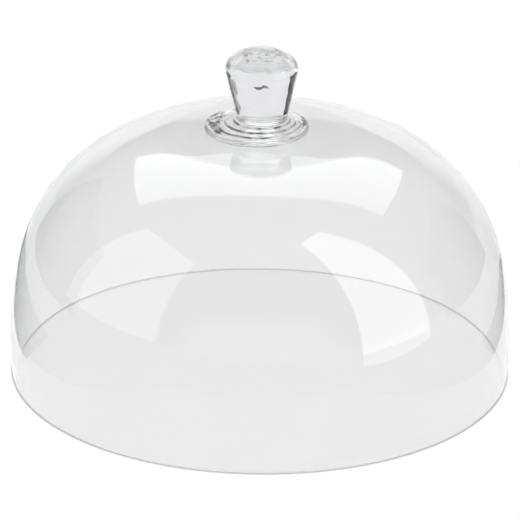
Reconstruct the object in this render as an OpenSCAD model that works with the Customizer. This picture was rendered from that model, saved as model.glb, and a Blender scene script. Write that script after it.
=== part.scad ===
// Clear glass display dome with a solid glass knob.
// A blown bell with a fire-polished rim, an applied two-tier glass collar and a solid knob,
// all turned about the Z axis. Z = 0 is the plane that the rim rests on. Millimetres.

/* [Bell] */
// Outside diameter of the wall at the rim
rim_d = 285; // [276:1:300]
// Wall thickness of the skirt and the shoulder
wall = 2.6; // [2.2:0.1:3.4]
// How much thicker the glass is on the axis than the wall is
crown_extra = 1; // [0.4:0.1:1]
// Outward lean of the wall at the rim, degrees
rim_lean = 3.2; // [1:0.1:5]
// Radius of the long curve up the skirt
skirt_r = 257; // [240:1:290]
// Angle that the skirt's curve turns through, degrees
skirt_turn = 14.6; // [12:0.2:17]
// Radius of the shoulder
shoulder_r = 97; // [90:0.5:101]
// Radius of the flattened crown
crown_r = 450; // [350:5:550]

/* [Rim] */
// How much thicker the fire-polished edge is than the wall
bead_extra = 0.2; // [0.1:0.1:0.8]
// Depth of the ground land cut into the edge, which the dome stands on
land_cut = 0.12; // [0.05:0.01:0.3]

/* [Collar] */
// Diameter of the collar where it spreads on the crown
collar_d = 57.4; // [54:0.2:60]
// Radius of the rounded lower tier
tier_r = 1.8; // [1.5:0.1:2.2]
// Radius of the domed upper tier
button_r = 23; // [21:0.5:26]
// Radius, from the axis, of the place where the upper tier's curve is centred
button_off = 11.2; // [10:0.1:12]
// Height of the knob's seat above the top of the crown
seat_h = 5.9; // [5.4:0.1:6.4]

/* [Knob] */
// Diameter of the neck at the seat
neck_d = 27.6; // [25:0.2:29]
// Widest diameter of the knob
knob_d = 40.6; // [38:0.2:44]
// Height of the widest place above the seat
belly_h = 28.7; // [26:0.1:34]
// Radius of the rounded belly
belly_r = 8.7; // [7:0.1:10]
// Radius of the domed top
top_r = 32; // [28:0.5:45]
// Radius of the thin ring round the foot of the neck
ring_r = 1; // [0.8:0.1:1.2]

/* [Hidden] */
$fn = 180;
// Sides of the crown's circle where it is cut out of the collar: its radius is large
crown_fn = 1440;
// Arcs that end on the axis run a degree past it, and shapes that join run this far into each other
past_axis = 91;
overlap = 1;
// The skirt's arc starts this many degrees below the rim, and is cut off there
below_rim = 10;
// The shoulder and the belly are drawn this much inside the larger arcs that they meet tangentially
hair = 0.005;

// Centres of the skirt's and the shoulder's arcs, as [radius, height]
skirt_c = [rim_d / 2 - skirt_r * cos(rim_lean), skirt_r * sin(rim_lean)];
skirt_end = skirt_turn - rim_lean;
shoulder_c = skirt_c + (skirt_r - shoulder_r) * [cos(skirt_end), sin(skirt_end)];

// The crown's centre is on the axis, and its arc is tangent to the shoulder's
function crown_turn(cap, inner) = acos(shoulder_c[0] / (cap - inner));
crown_cz = shoulder_c[1] - (crown_r - shoulder_r) * sin(crown_turn(crown_r, shoulder_r));
crown_z = crown_cz + crown_r;

// The inside of the crown is tangent to the inside of the shoulder and leaves crown_wall on the axis
crown_wall = wall + crown_extra;
inner_r = shoulder_r - wall;
drop = shoulder_c[1] - crown_z + crown_wall;
inner_crown_r = (inner_r * inner_r - shoulder_c[0] * shoulder_c[0] - drop * drop) / (2 * (drop + inner_r));
inner_crown_cz = crown_z - crown_wall - inner_crown_r;

// The polished edge is centred on the wall, just above the land
bead_r = (wall + bead_extra) / 2;
bead_z = bead_r - land_cut;
bead_lean = asin((skirt_c[1] - bead_z) / (skirt_r - wall / 2));
bead_c = [skirt_c[0] + (skirt_r - wall / 2) * cos(bead_lean), bead_z];

// The collar's lower tier lies on the crown, sunk a little so that its edge turns under
tier_sink = 0.35;
tier_x = collar_d / 2 - tier_r;
tier_c = [tier_x, crown_cz + sqrt(crown_r * crown_r - tier_x * tier_x) + tier_r - tier_sink];
low_z = tier_c[1] - 2 * tier_r;
seat_z = crown_z + seat_h;

// The ring round the neck stands out by most of its radius, and is cut off at the seat
ring_c = [neck_d / 2 - 0.2 * ring_r, seat_z + 0.6 * ring_r];
seat_r = ring_c[0] + ring_r;
button_c = [button_off, seat_z - sqrt(button_r * button_r - pow(seat_r - button_off, 2))];

// The knob's top arc is centred on the axis and tangent to the belly's arc
belly_c = [knob_d / 2 - belly_r, seat_z + belly_h];
top_turn = acos(belly_c[0] / (top_r - belly_r));
top_cz = belly_c[1] - (top_r - belly_r) * sin(top_turn);
// The straight side is tangent to the belly and runs down through the neck at the seat
side = [belly_c[0] - neck_d / 2, belly_h];
side_turn = atan2(side[1], side[0]) - asin(belly_r / norm(side)) - 90;
side_top = polar(belly_c, belly_r, side_turn);
side_foot = polar(side_top, belly_h, side_turn - 90);

// A point at a distance and angle from a centre
function polar(c, r, a) = c + r * [cos(a), sin(a)];

// A slice of a disc between two angles less than 120 degrees apart
module pie(c, r, a0, a1) {
    intersection() {
        translate(c)
            circle(r);
        polygon([c, polar(c, 2 * r, a0), polar(c, 2 * r, a1)]);
    }
}

// Half of the bell's section, filled to the axis and drawn in by inset. The shoulder's whole disc
// lies inside the skirt's and the crown's arcs, so it joins them without a corner.
module bell_section(inset, cap_r, cap_cz) {
    intersection() {
        union() {
            pie(skirt_c, skirt_r - inset, -rim_lean - below_rim, skirt_end);
            translate(shoulder_c)
                circle(shoulder_r - inset - hair);
            pie([0, cap_cz], cap_r, crown_turn(cap_r, shoulder_r - inset), past_axis);
        }
        square([rim_d, rim_d]);
    }
}

// The glass above the polished edge's centre, and the edge with its land
module shell_section() {
    intersection() {
        difference() {
            bell_section(0, crown_r, crown_cz);
            bell_section(wall, inner_crown_r, inner_crown_cz);
        }
        translate([0, bead_z])
            square([rim_d, rim_d]);
    }
    intersection() {
        translate(bead_c)
            circle(bead_r);
        square([rim_d, rim_d]);
    }
}

// Domed upper tier and rounded lower tier, cut off at the seat and hollowed to lie on the crown
module collar_section() {
    difference() {
        union() {
            intersection() {
                translate(button_c)
                    circle(button_r);
                translate([0, low_z])
                    square([tier_x, seat_z - low_z]);
            }
            translate([0, low_z])
                square([button_off + overlap, seat_z - low_z]);
            translate([0, low_z])
                square([tier_x, tier_c[1] - low_z]);
            translate(tier_c)
                circle(tier_r);
        }
        translate([0, crown_cz])
            circle(crown_r, $fn = crown_fn);
    }
}

// Straight tapering side, rounded belly, domed top and the ring at the foot, all cut off at the seat.
// The belly's whole disc lies inside the outline, so it joins the side and the top without a corner.
module knob_section() {
    intersection() {
        union() {
            polygon([[0, side_foot[1]], side_foot, side_top, belly_c, [0, belly_c[1] + belly_r / 2]]);
            translate(belly_c)
                circle(belly_r - hair);
            pie([0, top_cz], top_r, top_turn, past_axis);
            translate(ring_c)
                circle(ring_r);
        }
        translate([0, seat_z])
            square([knob_d, 2 * knob_d]);
    }
}

module dome_shell() {
    color([0.86, 0.91, 0.89, 0.45])
        rotate_extrude()
            shell_section();
}

module knob_collar() {
    color([0.80, 0.86, 0.84, 0.7])
        rotate_extrude()
            collar_section();
}

module knob() {
    color([0.88, 0.90, 0.86, 0.7])
        rotate_extrude()
            knob_section();
}

dome_shell();
knob_collar();
knob();
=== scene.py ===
"""Clear glass display dome with a solid glass knob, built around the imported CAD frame.

The three CAD nodes (bell, collar, knob) are replaced by fine spun meshes with the small unevenness
of hand-blown glass. Everything is in metres, and Z = 0 is the plane that the rim rests on. The photo's
camera looks along +Y, so its left and right are -X and +X.
"""
import math

import bmesh
import bpy
from mathutils import Matrix, Vector, noise


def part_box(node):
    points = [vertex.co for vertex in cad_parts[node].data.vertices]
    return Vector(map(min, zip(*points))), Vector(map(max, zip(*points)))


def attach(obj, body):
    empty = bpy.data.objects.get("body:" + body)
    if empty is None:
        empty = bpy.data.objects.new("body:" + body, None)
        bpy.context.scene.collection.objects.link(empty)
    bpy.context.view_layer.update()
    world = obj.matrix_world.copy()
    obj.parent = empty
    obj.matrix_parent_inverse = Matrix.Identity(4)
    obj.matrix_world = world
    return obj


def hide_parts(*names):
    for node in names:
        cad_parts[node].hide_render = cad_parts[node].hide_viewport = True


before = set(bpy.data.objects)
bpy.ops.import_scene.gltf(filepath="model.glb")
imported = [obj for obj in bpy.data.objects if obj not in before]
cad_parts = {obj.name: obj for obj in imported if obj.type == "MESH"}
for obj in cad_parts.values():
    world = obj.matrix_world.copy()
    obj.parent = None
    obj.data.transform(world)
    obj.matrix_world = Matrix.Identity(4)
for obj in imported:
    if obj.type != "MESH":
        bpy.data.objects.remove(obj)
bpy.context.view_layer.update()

# ---------------------------------------------------------------- sizes, from the frame where it has them
shell_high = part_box("dome_shell")[1]
collar_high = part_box("knob_collar")[1]
knob_low, knob_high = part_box("knob")
crown_z = shell_high.z
seat_z = knob_low.z
collar_r = collar_high.x
knob_r = knob_high.x

# The rest are the driving sizes of part.scad
RIM_R = 0.1425                      # outside of the wall at Z = 0
WALL = 0.0026
CROWN_WALL = 0.0036
RIM_LEAN = 3.2                      # outward lean of the wall at the rim, degrees
SKIRT_R = 0.257
SKIRT_TURN = 14.6                   # degrees
SHOULDER_R = 0.097
CROWN_R = 0.450
EDGE_R = WALL / 2                   # rounded, fire-polished edge of the rim, without the CAD's bead
LAND_CUT = 0.00012
TIER_R = 0.0018                     # rounded outer roll of the collar
TIER_SINK = 0.00035
NECK_R = 0.0138
BELLY_R = 0.0087
BELLY_H = 0.0287
TOP_R = 0.032
RING_R = 0.001                      # thin ring round the foot of the neck
RING_OUT = 0.8                      # how far the ring stands out of the neck, as a share of its radius
RING_LIFT = 0.6                     # height of the ring's centre over the seat, in the same way

# Steps in the top of the collar, as (inner radius, width, drop)
TERRACES = [
    (0.0154, 0.0010, 0.0011),
    (0.0192, 0.0008, 0.0010),
    (0.0228, 0.0007, 0.0008),
]
TERRACE_SLOPE = 0.076               # fall between the steps

# The pieces stay this far apart, so that each is a closed body of glass. The real dome has no such
# gap: joints modelled as fused kept the light in and turned the collar much too dark.
GAP = 0.00002

# Unevenness of the hand work. A ripple is (size, depth, seed).
BELL_RIPPLE = (0.045, 0.00006, 3.0)
COLLAR_RIPPLE = (0.006, 0.00026, 7.0)
KNOB_RIPPLE = (0.006, 0.00020, 11.0)
KNOB_TOP_RIPPLE = (0.0045, 0.00032, 17.0)
SEED_TURN = (1, 0.37, -0.61)        # direction in which a seed moves the noise
FINE_SHARE = 0.4                    # depth of a ripple's fine part, and how much finer it is
FINE_TIMES = 2.3
RIM_EVEN_H = 0.02                   # the bell's ripple fades out below this height
TOOLED_R = 0.034                    # the crown is even out to here, under the collar
TOOLED_FADE = 0.015
COLLAR_SHIFT = 0.0030               # how far the collar's roll sits to one side
COLLAR_SPREAD = 0.0008              # how much further out than in the CAD the roll is
COLLAR_EVEN_H = 0.001               # the collar's ripple fades out below this height over the crown
KNOB_LEAN = 0.0006                  # how far the knob's belly leans to one side
CORD_STRETCH = 0.35                 # the knob's ripples are drawn out along Z into cords
CORDS_FROM = 0.003                  # heights over the seat between which the cords come in
CORDS_FULL = 0.010
DIMPLE_R = 0.0125                   # shallow polished dimple in the knob's top
DIMPLE_FLAT = 0.7                   # share of its radius that has the full depth
DIMPLE_DEPTH = 0.0005
BUBBLE_PLACE = (-0.0004, 0, 0.0222)  # from the middle of the seat
BUBBLE_HALF = (0.0026, 0.0012, 0.0009)
BUBBLE_WAVE = 0.0006
BUBBLE_WAVES = 1.3                  # half waves from the bubble's middle to an end

# Faces with painted shade: a dark tint, by the material slots of the collar and the knob, which stands in
# for the dark refraction of the glass. The tint was set after the dark shapes in the photo. It stands for
# no known mark.
PAINTED_SHADE_LINE = 1
PAINTED_SIDE_SHADE = 2
UNDER_SHADE_WIDTH = 0.0009                       # width of the painted shade line under the collar and under the knob
SIDE_SHADE_R = 0.0215                   # the collar has painted side shade from this radius out,
SIDE_SHADE_X = 0.0185                   # and only further to the left or the right than this

# Fineness of the meshes
BELL_SIDES = 512
KNOB_SIDES = 256                    # the collar's too
CROWN_STEPS = 22
INNER_CROWN_STEPS = 16
SHOULDER_STEPS = 56
SKIRT_STEPS = 30
EDGE_STEPS = 10
TERRACE_STEP = 0.00012              # radius between two rings of the terraces
ROLL_STEPS = 36
ROLL_DARK_STEPS = 7                 # the last rings of the roll, where it turns under, have the painted shade
UNDERSIDE_STEPS = 12
TOP_STEPS = 40
BELLY_STEPS = 40
SIDE_STEPS = 30
RING_STEPS = 12
FOOT_STEPS = 8
RING_SEARCH = RING_R / 200          # step of the search for the place where the side meets the ring
BUBBLE_AROUND = 20
BUBBLE_ALONG = 28

BODY = "root"


# ---------------------------------------------------------------- outlines, as (radius, height) points
def polar(centre, radius, degrees):
    angle = math.radians(degrees)
    return (centre[0] + radius * math.cos(angle), centre[1] + radius * math.sin(angle))


def arc(centre, radius, start, end, steps):
    """Points along an arc, both ends included; angles in degrees from the outward direction."""
    return [polar(centre, radius, start + (end - start) * i / steps) for i in range(steps + 1)]


def line(start, end, steps):
    """Points along a straight line, without its first point."""
    return [
        (start[0] + (end[0] - start[0]) * i / steps, start[1] + (end[1] - start[1]) * i / steps)
        for i in range(1, steps + 1)
    ]


def smooth(share):
    """A share, held between 0 and 1 and eased at both ends."""
    share = min(1.0, max(0.0, share))
    return share * share * (3 - 2 * share)


def smooth_share(value, low, high):
    """0 below low, 1 above high, and smooth between them."""
    return smooth((value - low) / (high - low))


skirt_end = SKIRT_TURN - RIM_LEAN


def solve_bell():
    """The bell's arc centres, from the crown's height in the frame and the driving radii."""
    lean = math.radians(RIM_LEAN)
    skirt_c = (RIM_R - SKIRT_R * math.cos(lean), SKIRT_R * math.sin(lean))
    shoulder_c = polar(skirt_c, SKIRT_R - SHOULDER_R, skirt_end)
    turn = math.acos(shoulder_c[0] / (CROWN_R - SHOULDER_R))
    crown_c = (0.0, shoulder_c[1] - (CROWN_R - SHOULDER_R) * math.sin(turn))
    inner_r = SHOULDER_R - WALL
    drop = shoulder_c[1] - crown_z + CROWN_WALL
    cap_r = (inner_r ** 2 - shoulder_c[0] ** 2 - drop ** 2) / (2 * (drop + inner_r))
    cap_c = (0.0, crown_z - CROWN_WALL - cap_r)
    cap_turn = math.acos(shoulder_c[0] / (cap_r - inner_r))
    return skirt_c, shoulder_c, crown_c, math.degrees(turn), cap_r, cap_c, math.degrees(cap_turn)


# The cap is the inside of the crown
skirt_c, shoulder_c, crown_c, crown_turn, cap_r, cap_c, cap_turn = solve_bell()


def crown_height(radius):
    """Height of the bell's outer surface near its middle."""
    return crown_c[1] + math.sqrt(CROWN_R ** 2 - radius ** 2)


tier_x = collar_r - TIER_R
tier_c = (tier_x, crown_height(tier_x) + TIER_R - TIER_SINK)
seat_r = NECK_R + RING_R * RING_OUT


def collar_foot():
    """Radius at which the outer roll meets the crown."""
    dist = math.hypot(tier_c[0] - crown_c[0], tier_c[1] - crown_c[1])
    along = (CROWN_R ** 2 - TIER_R ** 2 + dist ** 2) / (2 * dist)
    half = math.sqrt(CROWN_R ** 2 - along ** 2)
    ux, uz = tier_c[0] / dist, (tier_c[1] - crown_c[1]) / dist
    return along * ux + half * uz


foot_r = collar_foot()


def shell_outline():
    """Crown, shoulder, skirt, rounded edge with its land, and back up the inside to the crown."""
    edge_z = EDGE_R - LAND_CUT
    edge_lean = math.degrees(math.asin((skirt_c[1] - edge_z) / (SKIRT_R - WALL / 2)))
    edge_c = polar(skirt_c, SKIRT_R - WALL / 2, -edge_lean)
    land = math.degrees(math.acos(edge_z / EDGE_R))
    outer = arc(crown_c, CROWN_R, 90, crown_turn, CROWN_STEPS)
    outer += arc(shoulder_c, SHOULDER_R, crown_turn, skirt_end, SHOULDER_STEPS)[1:]
    outer += arc(skirt_c, SKIRT_R, skirt_end, -edge_lean, SKIRT_STEPS)[1:]
    edge = arc(edge_c, EDGE_R, -edge_lean, -90 + land, EDGE_STEPS)[1:]
    edge += arc(edge_c, EDGE_R, -90 - land, -180 - edge_lean, EDGE_STEPS)
    inner = arc(skirt_c, SKIRT_R - WALL, -edge_lean, skirt_end, SKIRT_STEPS)[1:]
    inner += arc(shoulder_c, SHOULDER_R - WALL, skirt_end, cap_turn, SHOULDER_STEPS)[1:]
    inner += arc(cap_c, cap_r, cap_turn, 90, INNER_CROWN_STEPS)[1:]
    return outer + edge + inner


def terrace_height(radius):
    """Top of the collar: terraces that step down from the seat to the outer roll."""
    z = seat_z - TERRACE_SLOPE * (radius - seat_r)
    for start, width, drop in TERRACES:
        z -= drop * smooth((radius - start) / width)
    return z


def roll_height(radius):
    """Top of the collar's outer roll, or far below where there is none."""
    across = radius - tier_c[0]
    if abs(across) >= TIER_R:
        return -1.0
    return tier_c[1] + math.sqrt(TIER_R ** 2 - across ** 2)


def on_terrace_step(radius):
    """Whether a radius is in the middle two thirds of a step."""
    return any(abs(radius - start - width / 2) < width / 3 for start, width, _ in TERRACES)


def collar_outline():
    """Seat, terraces, rounded outer roll, and the underside that lies on the crown.

    It also returns the material slots of the faces with painted shade, by the place in the list where each
    starts.
    """
    points = [(0.0, seat_z - GAP), (seat_r, seat_z - GAP)]
    lines = {}
    radius = seat_r
    while terrace_height(radius) > roll_height(radius):
        points.append((radius, terrace_height(radius)))
        # Painted shade: dark lines on the middle of the steps, and further out dark patches at the left
        # and right
        if on_terrace_step(radius):
            lines[len(points) - 1] = PAINTED_SHADE_LINE
        elif radius > SIDE_SHADE_R:
            lines[len(points) - 1] = PAINTED_SIDE_SHADE
        radius += TERRACE_STEP
    start = math.degrees(math.atan2(roll_height(radius) - tier_c[1], radius - tier_c[0]))
    foot = (foot_r, crown_height(foot_r) + GAP)
    foot_turn = math.degrees(math.atan2(foot[1] - tier_c[1], foot[0] - tier_c[0]))
    points += arc(tier_c, TIER_R, start, foot_turn, ROLL_STEPS)
    # Painted shade where the roll turns under, and on the narrow face under it
    for place in range(len(points) - ROLL_DARK_STEPS, len(points)):
        lines[place] = PAINTED_SHADE_LINE
    radii = [foot_r - UNDER_SHADE_WIDTH]
    radii += [foot_r * (1 - i / UNDERSIDE_STEPS) for i in range(1, UNDERSIDE_STEPS + 1)]
    return points + [(radius, crown_height(radius) + GAP) for radius in radii], lines


def line_meets_ring(slope, ring_c):
    """Where the knob's straight side runs into the ring round its foot."""
    z = seat_z + 3 * RING_R
    while math.hypot(NECK_R + slope * (z - seat_z) - ring_c[0], z - ring_c[1]) > RING_R:
        z -= RING_SEARCH
    return (NECK_R + slope * (z - seat_z), z)


def knob_outline():
    """Domed top, rounded belly, straight tapering side, ring, and the flat foot.

    It also returns the material slot of the foot's edge, which has painted shade, as collar_outline does.
    """
    belly_c = (knob_r - BELLY_R, seat_z + BELLY_H)
    top_turn = math.degrees(math.acos(belly_c[0] / (TOP_R - BELLY_R)))
    top_c = (0.0, belly_c[1] - (TOP_R - BELLY_R) * math.sin(math.radians(top_turn)))
    reach = math.hypot(belly_c[0] - NECK_R, BELLY_H)
    side_turn = math.degrees(
        math.atan2(BELLY_H, belly_c[0] - NECK_R) - math.asin(BELLY_R / reach)
    ) - 90
    side_top = polar(belly_c, BELLY_R, side_turn)
    ring_c = (seat_r - RING_R, seat_z + RING_R * RING_LIFT)
    slope = (side_top[0] - NECK_R) / (side_top[1] - seat_z)
    ring_top = line_meets_ring(slope, ring_c)
    points = arc(top_c, TOP_R, 90, top_turn, TOP_STEPS)
    points += arc(belly_c, BELLY_R, top_turn, side_turn, BELLY_STEPS)[1:]
    points += line(side_top, ring_top, SIDE_STEPS)
    ring_turn = math.degrees(math.atan2(ring_top[1] - ring_c[1], ring_top[0] - ring_c[0]))
    points += arc(ring_c, RING_R, ring_turn, -math.degrees(math.asin(RING_LIFT)), RING_STEPS)[1:]
    # Painted shade on the narrow face under the foot of the knob
    lines = {len(points) - 1: PAINTED_SHADE_LINE}
    points.append((points[-1][0] - UNDER_SHADE_WIDTH, seat_z))
    return points + line(points[-1], (0.0, seat_z), FOOT_STEPS), lines


# ---------------------------------------------------------------- meshes
def ripple(point, size, depth, seed):
    """How far hand work has moved the surface at a point, in metres; smooth and always the same."""
    p = point / size + Vector([seed * part for part in SEED_TURN])
    return depth * (noise.noise(p) + FINE_SHARE * noise.noise(p * FINE_TIMES))


def bell_hand_work(p):
    """Slow waves all over, fading out at the rim and under the collar."""
    fade = min(1.0, p.z / RIM_EVEN_H) * smooth_share(p.xy.length, TOOLED_R, TOOLED_R + TOOLED_FADE)
    return p + p.normalized() * ripple(p, *BELL_RIPPLE) * fade


def collar_hand_work(p):
    """The roll sits to one side and is a little wide and wavy; the seat stays where it is."""
    radius = p.xy.length
    share = smooth_share(radius, seat_r, tier_x)
    over = p.z - crown_height(radius)
    new = Vector((p.x - COLLAR_SHIFT * share, p.y, 0))
    if radius > 0:
        new += p.xy.to_3d() / radius * COLLAR_SPREAD * share
    thick = smooth_share(over, 2 * GAP, COLLAR_EVEN_H)
    new.z = crown_height(new.xy.length) + over + ripple(p, *COLLAR_RIPPLE) * share * thick
    return new


def knob_hand_work(p):
    """Upright cords in the glass, a slight lean, and the shallow dimple polished into the top."""
    radius = p.xy.length
    cords = ripple(Vector((p.x, p.y, p.z * CORD_STRETCH)), *KNOB_RIPPLE)
    fade = smooth_share(p.z, seat_z + CORDS_FROM, seat_z + CORDS_FULL)
    new = Vector((p.x - KNOB_LEAN * (p.z - seat_z) / BELLY_H, p.y, p.z))
    if radius > 0:
        new += p.xy.to_3d() / radius * cords * fade
    above = smooth_share(p.z, seat_z + BELLY_H, knob_high.z)
    new.z += ripple(p, *KNOB_TOP_RIPPLE) * above
    new.z -= DIMPLE_DEPTH * above * (1 - smooth_share(radius, DIMPLE_FLAT * DIMPLE_R, DIMPLE_R))
    return new


def spun_mesh(name, outline, sides, moved, lines):
    """A closed mesh turned about the Z axis, with each of its points moved by the hand work.

    The outline runs from the axis, outward and down, and back to the axis. Faces that start at a place
    named in lines take the material slot given there.
    """
    rings = outline[1:-1]
    count = len(rings)
    angles = [2 * math.pi * k / sides for k in range(sides)]
    turns = [(math.cos(a), math.sin(a)) for a in angles]
    verts = [moved(Vector((r * c, r * s, z))) for r, z in rings for c, s in turns]
    top = len(verts)
    verts.append(moved(Vector((0, 0, outline[0][1]))))
    verts.append(moved(Vector((0, 0, outline[-1][1]))))
    last = (count - 1) * sides
    faces = [(top, k, (k + 1) % sides) for k in range(sides)]
    slots = [0] * sides
    for i in range(count - 1):
        a, b = i * sides, (i + 1) * sides
        for k in range(sides):
            n = (k + 1) % sides
            faces.append((a + k, b + k, b + n, a + n))
        slots += [lines.get(i + 1, 0)] * sides
    faces += [(last + k, top + 1, last + (k + 1) % sides) for k in range(sides)]
    slots += [0] * sides
    mesh = bpy.data.meshes.new(name)
    mesh.from_pydata(verts, [], faces)
    mesh.polygons.foreach_set("material_index", slots)
    mesh.polygons.foreach_set("use_smooth", [True] * len(faces))
    mesh.update()
    return mesh


def add_bubble(mesh, centre):
    """A long wavy air bubble inside a closed mesh. Its faces look into the bubble, away from the glass."""
    made = bmesh.new()
    made.from_mesh(mesh)

    def add_vert(x, y, z):
        lift = BUBBLE_WAVE * math.sin(math.pi * x * BUBBLE_WAVES)
        offset = (BUBBLE_HALF[0] * x, BUBBLE_HALF[1] * y, BUBBLE_HALF[2] * z + lift)
        return made.verts.new(centre + Vector(offset))

    rings = []
    for i in range(1, BUBBLE_ALONG):
        lean = math.pi * i / BUBBLE_ALONG
        ring = []
        for k in range(BUBBLE_AROUND):
            turn = 2 * math.pi * k / BUBBLE_AROUND
            ring.append(add_vert(
                -math.cos(lean),
                math.sin(lean) * math.cos(turn),
                math.sin(lean) * math.sin(turn),
            ))
        rings.append(ring)
    ends = [add_vert(side, 0, 0) for side in (-1, 1)]
    faces = []
    for ring, beyond in zip(rings, rings[1:]):
        for k in range(BUBBLE_AROUND):
            n = (k + 1) % BUBBLE_AROUND
            faces.append((ring[k], ring[n], beyond[n], beyond[k]))
    for k in range(BUBBLE_AROUND):
        n = (k + 1) % BUBBLE_AROUND
        faces.append((ends[0], rings[0][n], rings[0][k]))
        faces.append((ends[1], rings[-1][k], rings[-1][n]))
    for corners in faces:
        face = made.faces.new(corners)
        face.smooth = True
        # The bubble's faces take the dark painted shade, which stands in for the dark refraction at its
        # wall
        face.material_index = PAINTED_SHADE_LINE
    made.to_mesh(mesh)
    made.free()


def add_piece(name, mesh, materials, node):
    """The glass casts no shadow of its own: shade() darkens the floor in its place."""
    piece = bpy.data.objects.new(name, mesh)
    bpy.context.scene.collection.objects.link(piece)
    for material in materials:
        mesh.materials.append(material)
    piece.visible_shadow = False
    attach(piece, BODY)
    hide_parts(node)


# ---------------------------------------------------------------- materials
GLASS_IOR = 1.52
TINT_DETAIL = 3                     # octaves of the noise that breaks up the painted shade's dark tint
TINT_DARK_UP_TO = 0.42              # the noise is dark up to here, and clear from TINT_CLEAR_FROM on
TINT_CLEAR_FROM = 0.62
SIDE_CLEAR_LIFT = 0.4               # added to the noise where the sideways painted shade is to be clear
SIDE_FADE = 1.25                    # such a tint is full this many times further out than it starts
MATT_ROUGHNESS = 0.9


def new_material(name):
    material = bpy.data.materials.new(name)
    material.use_nodes = True
    nodes = material.node_tree.nodes
    nodes.clear()
    return material, nodes, material.node_tree.links


def clear_shader(nodes, links):
    """Smooth refracting glass, joined to the material's output."""
    out = nodes.new("ShaderNodeOutputMaterial")
    shader = nodes.new("ShaderNodeBsdfPrincipled")
    shader.inputs["Transmission Weight"].default_value = 1
    shader.inputs["Roughness"].default_value = 0
    shader.inputs["IOR"].default_value = GLASS_IOR
    links.new(shader.outputs["BSDF"], out.inputs["Surface"])
    return shader, out


def glass(name, colour, tint, density):
    material, nodes, links = new_material(name)
    shader, out = clear_shader(nodes, links)
    shader.inputs["Base Color"].default_value = (*colour, 1)
    depth = nodes.new("ShaderNodeVolumeAbsorption")
    depth.inputs["Color"].default_value = (*tint, 1)
    depth.inputs["Density"].default_value = density
    links.new(depth.outputs["Volume"], out.inputs["Volume"])
    return material


def painted_shade_glass(name, clear, dark, size, side_from=None):
    """Glass with a broken dark tint: painted shade, which imitates dark refraction shapes. With side_from,
    it is only dark further than that from the middle, to the left and right (-X and +X)."""
    material, nodes, links = new_material(name)
    shader, _ = clear_shader(nodes, links)
    where = nodes.new("ShaderNodeTexCoord")
    grain = nodes.new("ShaderNodeTexNoise")
    grain.inputs["Scale"].default_value = 1 / size
    grain.inputs["Detail"].default_value = TINT_DETAIL
    ramp = nodes.new("ShaderNodeValToRGB")
    ramp.color_ramp.elements[0].position = TINT_DARK_UP_TO
    ramp.color_ramp.elements[0].color = (dark, dark, dark, 1)
    ramp.color_ramp.elements[1].position = TINT_CLEAR_FROM
    ramp.color_ramp.elements[1].color = (clear, clear, clear, 1)
    links.new(where.outputs["Object"], grain.inputs["Vector"])
    if side_from is None:
        links.new(grain.outputs["Fac"], ramp.inputs["Fac"])
    else:
        split = nodes.new("ShaderNodeSeparateXYZ")
        across = nodes.new("ShaderNodeMath")
        across.operation = "ABSOLUTE"
        lift = nodes.new("ShaderNodeMapRange")
        lift.inputs["From Min"].default_value = side_from
        lift.inputs["From Max"].default_value = SIDE_FADE * side_from
        lift.inputs["To Min"].default_value = SIDE_CLEAR_LIFT
        lift.inputs["To Max"].default_value = 0
        add = nodes.new("ShaderNodeMath")
        links.new(where.outputs["Object"], split.inputs["Vector"])
        links.new(split.outputs["X"], across.inputs[0])
        links.new(across.outputs["Value"], lift.inputs["Value"])
        links.new(lift.outputs["Result"], add.inputs[0])
        links.new(grain.outputs["Fac"], add.inputs[1])
        links.new(add.outputs["Value"], ramp.inputs["Fac"])
    links.new(ramp.outputs["Color"], shader.inputs["Base Color"])
    return material


def matt(name, colour):
    material, nodes, links = new_material(name)
    out = nodes.new("ShaderNodeOutputMaterial")
    shader = nodes.new("ShaderNodeBsdfPrincipled")
    shader.inputs["Base Color"].default_value = (*colour, 1)
    shader.inputs["Roughness"].default_value = MATT_ROUGHNESS
    shader.inputs["Specular IOR Level"].default_value = 0
    links.new(shader.outputs["BSDF"], out.inputs["Surface"])
    return material


# ---------------------------------------------------------------- the three pieces
# Surface colour, colour that the depth of the glass absorbs towards, and how strongly it does
bell_glass = glass("bell_glass", (0.945, 0.94, 0.942), (0.24, 0.42, 0.36), 14.0)
knob_glass = glass("knob_glass", (0.825, 0.828, 0.838), (0.36, 0.38, 0.40), 1.5)
collar_glass = glass("collar_glass", (0.99, 0.99, 0.985), (0.36, 0.38, 0.38), 0.6)
# Painted shade glass, standing in for dark refraction: greys of the clear and the dark places, and their
# size
painted_shade_line = painted_shade_glass("painted_shade_line", 0.75, 0.005, 0.006)
painted_side_shade = painted_shade_glass("painted_side_shade", 0.97, 0.01, 0.005, SIDE_SHADE_X)

add_piece(
    "bell_glass_wall",
    spun_mesh("bell_glass_wall", shell_outline(), BELL_SIDES, bell_hand_work, {}),
    [bell_glass],
    "dome_shell",
)

collar_points, collar_lines = collar_outline()
add_piece(
    "collar_glass",
    spun_mesh("collar_glass", collar_points, KNOB_SIDES, collar_hand_work, collar_lines),
    [collar_glass, painted_shade_line, painted_side_shade],
    "knob_collar",
)

knob_points, knob_lines = knob_outline()
knob_mesh = spun_mesh("knob_glass_body", knob_points, KNOB_SIDES, knob_hand_work, knob_lines)
add_bubble(knob_mesh, Vector((BUBBLE_PLACE[0], BUBBLE_PLACE[1], seat_z + BUBBLE_PLACE[2])))
add_piece(
    "knob_glass_body",
    knob_mesh,
    [knob_glass, painted_shade_line],
    "knob",
)

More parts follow.
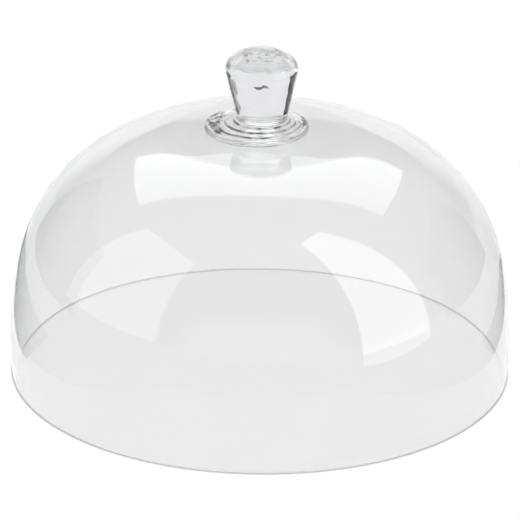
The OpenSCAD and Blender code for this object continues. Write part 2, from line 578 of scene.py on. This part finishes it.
# ---------------------------------------------------------------- the studio
# The lights, cards, shades and greys below were set until the glass agreed with the photo's view
FLOOR_Z = -0.0002                   # the sweep and the shades lie between the floor and the rim
SWEEP_Z = -0.0001
SHADE_Z = -0.00008
FLOOR_HALF = 20.0
SHADE_SIDES = 256
SHADE_IN = 0.0006                   # the rim's shade starts this far inside the wall,
SHADE_OUT = 0.0001                  # and ends this far outside it
SHADE_INSIDE = 0.885                # share of the key light that reaches the floor under the bell
SHADE_RIM = 0.55
SWEEP_LOW = (-0.19, -0.33)          # the narrow white sweep that the glass mirrors
SWEEP_HIGH = (0.19, 3.0)
FLAG_H = 0.50
CEILING_HALF = 6
CEILING_H = 3.0
CEILING_GREY = 0.45
CARD_BLACK = (0.02, 0.02, 0.02)
PAPER_WHITE = (0.86, 0.86, 0.86)
ONE_LAYER = 2.5                     # a ray past more surfaces of glass is through more than one layer


def stage_mesh(name, verts, faces, material):
    mesh = bpy.data.meshes.new(name)
    mesh.from_pydata(verts, [], faces)
    mesh.materials.append(material)
    made = bpy.data.objects.new(name, mesh)
    bpy.context.scene.collection.objects.link(made)
    return made


def seen_only_by(made, glossy=False, transmission=False, shadow=False):
    """Hides a stage item from the camera, from diffuse rays and from the rays that are not named."""
    made.visible_camera = False
    made.visible_diffuse = False
    made.visible_glossy = glossy
    made.visible_transmission = transmission
    made.visible_shadow = shadow


def plane(name, low, high, z, material):
    corners = [(low[0], low[1], z), (high[0], low[1], z), (high[0], high[1], z), (low[0], high[1], z)]
    return stage_mesh(name, corners, [(0, 1, 2, 3)], material)


def upright_card(name, start, end, height, material):
    """A card that stands on the floor between two places and is only seen through the glass."""
    corners = [(*start, 0), (*end, 0), (*end, height), (*start, height)]
    seen_only_by(stage_mesh(name, corners, [(0, 1, 2, 3)], material), transmission=True)


def annulus(name, inner, outer, z, material):
    """A flat ring about the Z axis, or a disc where inner is 0."""
    angles = [2 * math.pi * k / SHADE_SIDES for k in range(SHADE_SIDES)]
    turns = [(math.cos(a), math.sin(a)) for a in angles]
    verts = [(outer * c, outer * s, z) for c, s in turns]
    if inner:
        verts += [(inner * c, inner * s, z) for c, s in turns]
        steps = [(k, (k + 1) % SHADE_SIDES) for k in range(SHADE_SIDES)]
        faces = [(k, n, SHADE_SIDES + n, SHADE_SIDES + k) for k, n in steps]
    else:
        faces = [tuple(range(SHADE_SIDES))]
    return stage_mesh(name, verts, faces, material)


def shade(name, inner, outer, share):
    """Stands in for the light that the glass keeps from the floor. It acts on shadow rays alone."""
    material, nodes, links = new_material(name)
    out = nodes.new("ShaderNodeOutputMaterial")
    clear = nodes.new("ShaderNodeBsdfTransparent")
    clear.inputs["Color"].default_value = (share, share, share, 1)
    links.new(clear.outputs["BSDF"], out.inputs["Surface"])
    seen_only_by(annulus(name, inner, outer, SHADE_Z, material), shadow=True)


def past_one_layer(nodes, links):
    """A Light Path node, and 1 for a ray that has come through more than one layer of glass, such as both
    walls of the bell, otherwise 0."""
    path = nodes.new("ShaderNodeLightPath")
    more = nodes.new("ShaderNodeMath")
    more.operation = "GREATER_THAN"
    more.inputs[1].default_value = ONE_LAYER
    links.new(path.outputs["Transmission Depth"], more.inputs[0])
    return path, more.outputs["Value"]


def edge_black():
    """Black that darkens the edges of the glass, but is clear to rays through more than one layer."""
    material, nodes, links = new_material("edge_black")
    out = nodes.new("ShaderNodeOutputMaterial")
    dark = nodes.new("ShaderNodeBsdfDiffuse")
    dark.inputs["Color"].default_value = (*CARD_BLACK, 1)
    clear = nodes.new("ShaderNodeBsdfTransparent")
    mix = nodes.new("ShaderNodeMixShader")
    _, past = past_one_layer(nodes, links)
    links.new(past, mix.inputs[0])
    links.new(dark.outputs["BSDF"], mix.inputs[1])
    links.new(clear.outputs["BSDF"], mix.inputs[2])
    links.new(mix.outputs["Shader"], out.inputs["Surface"])
    return material


def glow(name, grey):
    material, nodes, links = new_material(name)
    out = nodes.new("ShaderNodeOutputMaterial")
    shader = nodes.new("ShaderNodeEmission")
    shader.inputs["Color"].default_value = (grey, grey, grey, 1)
    links.new(shader.outputs["Emission"], out.inputs["Surface"])
    return material


paper = matt("paper", PAPER_WHITE)
floor = plane("floor", (-FLOOR_HALF, -FLOOR_HALF), (FLOOR_HALF, FLOOR_HALF), FLOOR_Z, paper)
floor.visible_glossy = False

rim_inner = shell_high.x - WALL - SHADE_IN
rim_outer = shell_high.x + SHADE_OUT
shade("shade_inside", 0, rim_inner, SHADE_INSIDE)
shade("shade_rim", rim_inner, rim_outer, SHADE_RIM)

# Seen through one layer of glass, such as the knob, whose sides they darken
black = matt("black_card", CARD_BLACK)
edge_dark = edge_black()
upright_card("flag_left", (-0.52, 0.60), (-0.84, -0.02), FLAG_H, edge_dark)
upright_card("flag_right", (0.64, 0.56), (0.88, -0.02), FLAG_H, edge_dark)
# Mirrored in the glass
seen_only_by(plane("sweep", SWEEP_LOW, SWEEP_HIGH, SWEEP_Z, paper), glossy=True)
seen_only_by(plane("edge_card_left", (-0.30, -0.01), (-0.178, 0.25), 0.0, black), glossy=True)
seen_only_by(plane("edge_card_right", (0.192, 0.0), (0.25, 0.20), 0.0, black), glossy=True)
# A dim ceiling, seen through the glass
ceiling_low = (-CEILING_HALF, -CEILING_HALF)
ceiling_high = (CEILING_HALF, CEILING_HALF)
ceiling_glow = glow("ceiling", CEILING_GREY)
seen_only_by(plane("ceiling", ceiling_low, ceiling_high, CEILING_H, ceiling_glow), transmission=True)

# Brightness of the room by height, from straight down at 0, level at 0.5, to straight up at 1
SIDE_STOPS = [(0.0, 0.6), (0.48, 0.6), (0.50, 0.5), (0.6, 0.45), (1.0, 0.45)]
BACK_STOPS = [(0.0, 0.6), (0.48, 0.9), (0.50, 1.0), (0.63, 1.0), (0.645, 0.38), (1.0, 0.38)]
FRONT_STOPS = [(0.0, 0.6), (0.46, 0.6), (0.50, 1.0), (0.68, 0.9), (0.76, 0.45), (1.0, 0.45)]
# How far a direction points along Y where the back or the front starts to show, and where it is all
BACK_FROM, BACK_FULL = 0.82, 0.96
FRONT_FROM, FRONT_FULL = -0.7, -0.95
BACKDROP = (0.98, 0.98, 0.98, 1)


def studio_world():
    """A room for the glass to mirror: bright low down behind and in front, and dim at the sides and
    overhead. The camera, and rays through more than one layer of glass, see white instead."""
    world = bpy.data.worlds.new("studio")
    bpy.context.scene.world = world
    world.use_nodes = True
    nodes, links = world.node_tree.nodes, world.node_tree.links
    nodes.clear()
    out = nodes.new("ShaderNodeOutputWorld")
    back = nodes.new("ShaderNodeBackground")
    where = nodes.new("ShaderNodeTexCoord")
    split = nodes.new("ShaderNodeSeparateXYZ")
    links.new(where.outputs["Generated"], split.inputs["Vector"])

    def spread(socket, low, high, kind):
        node = nodes.new("ShaderNodeMapRange")
        node.interpolation_type = kind
        node.inputs["From Min"].default_value = low
        node.inputs["From Max"].default_value = high
        links.new(split.outputs[socket], node.inputs["Value"])
        return node.outputs["Result"]

    def heights(stops):
        node = nodes.new("ShaderNodeValToRGB")
        ramp = node.color_ramp
        while len(ramp.elements) < len(stops):
            ramp.elements.new(0.5)
        for element, (place, grey) in zip(ramp.elements, stops):
            element.position = place
            element.color = (grey, grey, grey, 1)
        links.new(height, node.inputs["Fac"])
        return node.outputs["Color"]

    def blend(share, first, second):
        node = nodes.new("ShaderNodeMix")
        node.data_type = "RGBA"
        links.new(share, node.inputs["Factor"])
        links.new(first, node.inputs["A"])
        links.new(second, node.inputs["B"])
        return node.outputs["Result"]

    height = spread("Z", -1, 1, "LINEAR")
    to_back = spread("Y", BACK_FROM, BACK_FULL, "SMOOTHSTEP")
    to_front = spread("Y", FRONT_FROM, FRONT_FULL, "SMOOTHSTEP")
    sides_and_back = blend(to_back, heights(SIDE_STOPS), heights(BACK_STOPS))
    all_round = blend(to_front, sides_and_back, heights(FRONT_STOPS))
    path, past = past_one_layer(nodes, links)
    seen = nodes.new("ShaderNodeMath")
    seen.operation = "MAXIMUM"
    links.new(path.outputs["Is Camera Ray"], seen.inputs[0])
    links.new(past, seen.inputs[1])
    backdrop = nodes.new("ShaderNodeMix")
    backdrop.data_type = "RGBA"
    links.new(seen.outputs["Value"], backdrop.inputs["Factor"])
    links.new(all_round, backdrop.inputs["A"])
    backdrop.inputs["B"].default_value = BACKDROP
    links.new(backdrop.outputs["Result"], back.inputs["Color"])
    links.new(back.outputs["Background"], out.inputs["Surface"])
    world.cycles_visibility.diffuse = False


studio_world()

KEY_STRENGTH = 3.69
KEY_ANGLE = 1                       # degrees
SOFTBOX_TINT = (0.985, 0.98, 1.0)
WATTS_PER_RADIANCE = 4              # power of an area light for each square metre and unit of radiance


def key_light():
    """A sun straight overhead, for the floor alone."""
    data = bpy.data.lights.new("key", "SUN")
    data.energy = KEY_STRENGTH
    data.angle = math.radians(KEY_ANGLE)
    light = bpy.data.objects.new("key", data)
    bpy.context.scene.collection.objects.link(light)
    light.visible_glossy = False
    light.visible_transmission = False
    light.visible_camera = False


def softbox(name, centre, across, up, width, height, radiance):
    """A rectangular soft light for the glass alone. across and up are the directions of its sides, and
    the third axis, across x up, points away from what it lights."""
    x = Vector(across).normalized()
    y = Vector(up)
    y = (y - x * y.dot(x)).normalized()
    data = bpy.data.lights.new(name, "AREA")
    data.shape = "RECTANGLE"
    data.size = width
    data.size_y = height
    data.energy = WATTS_PER_RADIANCE * width * height * radiance
    data.color = SOFTBOX_TINT
    light = bpy.data.objects.new(name, data)
    turn = Matrix((x, y, x.cross(y))).transposed().to_4x4()
    light.matrix_world = Matrix.Translation(centre) @ turn
    bpy.context.scene.collection.objects.link(light)
    light.visible_camera = False
    light.visible_diffuse = False


key_light()
# Overhead behind the dome, and upright at its left and its right
softbox("softbox_top", (0.08, 1.22, 1.34), (1, -0.08, 0), (0, 1, 0), 1.98, 1.50, 1.0)
softbox("softbox_left", (-0.80, -0.30, 0.66), (0.342, -0.94, 0), (0, 0, 1), 0.80, 1.16, 0.70)
softbox("softbox_right", (0.80, -0.45, 1.325), (0.485, 0.875, 0), (0.05, 0.09, 1), 0.56, 2.75, 1.4)

# ---------------------------------------------------------------- camera
CAMERA_DISTANCE = 2.0
CAMERA_ELEVATION = 22.97            # degrees, like the roll
CAMERA_ROLL = 0.59
CAMERA_LENS = 243.2                 # millimetres, like the sensor
CAMERA_SENSOR = 36
CAMERA_CLIP = (0.05, 60)
CAMERA_TARGET = Vector((-0.00043, 0, 0.0649))


def camera():
    data = bpy.data.cameras.new("camera")
    data.lens = CAMERA_LENS
    data.sensor_width = CAMERA_SENSOR
    data.clip_start, data.clip_end = CAMERA_CLIP
    made = bpy.data.objects.new("camera", data)
    bpy.context.scene.collection.objects.link(made)
    e = math.radians(CAMERA_ELEVATION)
    place = CAMERA_TARGET + CAMERA_DISTANCE * Vector((0, -math.cos(e), math.sin(e)))
    tilt = Matrix.Rotation(math.radians(90 - CAMERA_ELEVATION), 4, "X")
    roll = Matrix.Rotation(math.radians(CAMERA_ROLL), 4, "Z")
    made.matrix_world = Matrix.Translation(place) @ tilt @ roll
    bpy.context.scene.camera = made


camera()
bpy.context.scene.view_settings.view_transform = "Standard"
# Light passes through the knob, the collar and both walls, so it may bounce more often than usual
bpy.context.scene.cycles.caustics_refractive = False
bpy.context.scene.cycles.caustics_reflective = False
bpy.context.scene.cycles.max_bounces = 32
bpy.context.scene.cycles.glossy_bounces = 24
bpy.context.scene.cycles.transmission_bounces = 24
bpy.context.scene.cycles.transparent_max_bounces = 24
